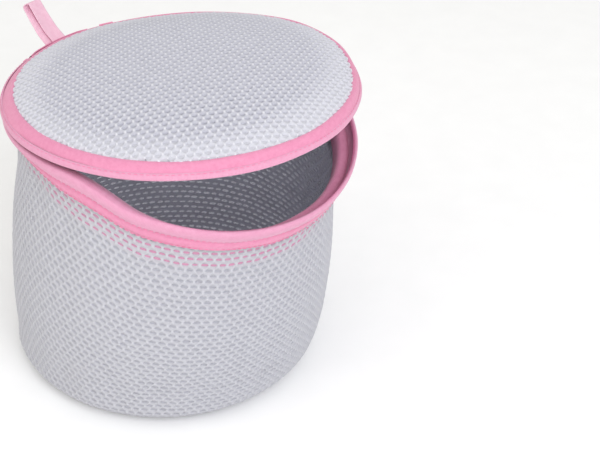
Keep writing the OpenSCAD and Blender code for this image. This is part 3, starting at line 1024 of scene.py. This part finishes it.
# ---------------------------------------------------------------- the fabric hinge
hinge_phi = math.pi + np.linspace(-1, 1, 33) * HINGE_HALF
hinge_section = at_height(
    [
        (96.6, -12.0), (97.4, -12.2), (99.4, -8.6), (100.6, -5.0), (101.0, -2.0), (101.0, 0.0), (100.9, 1.6),
        (100.2, 2.9), (99.1, 4.1), (98.1, 4.9), (97.7, 4.4), (98.7, 3.5), (99.7, 2.2), (100.3, 1.0),
        (100.3, -1.0), (100.1, -3.0), (99.2, -6.0), (97.6, -9.0),
    ],
    SEAM_Z,
)


def hinge_place(p):
    """Below the crease it stays with the rim, above it opens with the lid."""
    above = smooth((p[..., 2] - (SEAM_Z - CREASE_HALF)) / (2 * CREASE_HALF))
    return turn_x(p, (0, HINGE_Y, SEAM_Z), -LID_OPEN * above)


def sway_hinge(phi, share):
    """The hinge's two ends are sewn down flat."""
    return -1.0 * smooth((np.abs(phi - math.pi) / HINGE_HALF - 0.7) / 0.3), 0 * phi


hinge = band("fabric_hinge", hinge_section, hinge_place, MAT["binding"], sway_hinge, phis=hinge_phi)
done(hinge, "binding", "hinge_tape_lower", "hinge_tape_upper", blend=HINGE_BLEND)

# ---------------------------------------------------------------- the hanging loop
LOOP_LEAN = math.radians(38)
LOOP_FOOT = np.array([1.2, HINGE_Y + 0.4, SEAM_Z + 4.6])
LEG, BEND_R = 23.0, 1.85
RIBBON_HALF, RIBBON_T = 4.5, 0.5
ROOT_HEIGHT, ROOT_IN, ROOT_DOWN = 6.0, 3.4, 1.6


def loop_point(across, up, out):
    """Out is away from the bag across the folded ribbon; the loop leans back, and its root curves in."""
    y = out * math.cos(LOOP_LEAN) + up * math.sin(LOOP_LEAN)
    z = up * math.cos(LOOP_LEAN) - out * math.sin(LOOP_LEAN)
    root = 1 - smooth(up / ROOT_HEIGHT)
    p = np.stack(np.broadcast_arrays(across, y - ROOT_IN * root, z - ROOT_DOWN * root), -1)
    return open_lid(p + LOOP_FOOT)


def ribbon_loop():
    """One leg up, round the fold and down again; the two legs spread and shift aside towards the root."""
    length = 2 * LEG + math.pi * BEND_R
    along = np.linspace(0, 1, 100) * length
    turn = np.clip((along - LEG) / BEND_R, 0, math.pi)
    up = np.minimum(np.minimum(along, length - along), LEG) + BEND_R * np.sin(turn)
    spread = 1 - np.clip(up / (LEG + BEND_R), 0, 1)
    out = BEND_R * np.cos(turn) * (1 - 0.6 * spread) + 0.5 * np.sin(up / 8.0)
    side = np.clip((turn - math.pi / 2) / 0.8, -1, 1)
    edge = np.linspace(-1, 1, 17)[:, None]
    across = edge * (RIBBON_HALF + 0.6 * spread) + (1.0 + 1.3 * spread) * side
    curl = 0.6 * (1 - edge**2) * np.sin(math.pi * np.clip(up / LEG, 0, 1)) * side
    points = loop_point(across, up, out + curl)
    uv = np.stack(np.broadcast_arrays(along, edge * 5), -1)
    faces = grid_faces(*points.shape[:2])
    ribbon = make("ribbon_loop", points.reshape(-1, 3), faces, MAT["satin"], uv=uv.reshape(-1, 2))
    thick = ribbon.modifiers.new("thick", "SOLIDIFY")
    thick.thickness, thick.offset = RIBBON_T / 1000, 0
    return ribbon


done(ribbon_loop(), "ribbon", "hanging_loop", body="loop")

# ---------------------------------------------------------------- CAD pieces kept as they are
BEVEL = 0.3
KEPT = dict(zip_end_tabs="deep", zip_end_covers="deep", zip_slider="slider", pull_tab="slider")
for node, key in KEPT.items():
    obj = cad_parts[node]
    obj.data.materials.clear()
    obj.data.materials.append(MAT[key])
    bevel = obj.modifiers.new("soft_edges", "BEVEL")
    bevel.width, bevel.segments, bevel.limit_method = BEVEL / 1000, 2, "ANGLE"


# ---------------------------------------------------------------- floor, light and camera
FLOOR_HALF, FLOOR_GAP = 6000, 0.3
LIGHT_MIDDLE = Vector((0, 0, 90)) / 1000
WORLD_COLOUR, WORLD_STRENGTH = (1.0, 0.995, 0.975, 1), 0.84


def looking_from(azimuth, elevation):
    """The direction to something at these angles, azimuth 0 being the front."""
    level = math.cos(elevation)
    return Vector((math.sin(azimuth) * level, -math.cos(azimuth) * level, math.sin(elevation)))


def aim(obj, middle, back, distance):
    """Puts a camera or light at a distance from a middle and turns it to look at it."""
    bpy.context.scene.collection.objects.link(obj)
    obj.location = middle + back * distance
    obj.rotation_euler = back.to_track_quat("Z", "Y").to_euler()
    return obj


def area_light(name, aside, elevation, distance, size, power, colour):
    """A square light, aside by so many degrees from the camera's azimuth; distance and size are metres."""
    light = bpy.data.lights.new(name, "AREA")
    light.size, light.energy, light.color = size, power, colour
    back = looking_from(CAM_AZ + math.radians(aside), math.radians(elevation))
    aim(bpy.data.objects.new(name, light), LIGHT_MIDDLE, back, distance)


w = FLOOR_HALF
floor = make("floor", [(-w, -w, 0), (w, -w, 0), (w, w, 0), (-w, w, 0)], [(0, 1, 2, 3)], paper("floor_paper"))
lowest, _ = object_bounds()
floor.location.z = lowest.z - FLOOR_GAP / 1000

scene = bpy.context.scene
world = bpy.data.worlds.new("studio")
world.use_nodes = True
background = world.node_tree.nodes["Background"]
background.inputs["Color"].default_value = WORLD_COLOUR
background.inputs["Strength"].default_value = WORLD_STRENGTH
scene.world = world
area_light("key", 24, 37, 1.2, 0.7, 7.4, (0.93, 0.95, 1.0))
area_light("fill", -62, 20, 1.3, 0.9, 3.0, (1.0, 0.96, 0.87))

scene.view_settings.view_transform = "Standard"
cam = bpy.data.cameras.new("camera")
cam.lens, cam.sensor_width = CAM_LENS, SENSOR
cam.shift_x, cam.shift_y = CAM_SHIFT
cam.clip_start, cam.clip_end = 0.01, 50
back = looking_from(CAM_AZ, CAM_EL)
scene.camera = aim(bpy.data.objects.new("camera", cam), Vector(CAM_TARGET) / 1000, back, CAM_DIST / 1000)
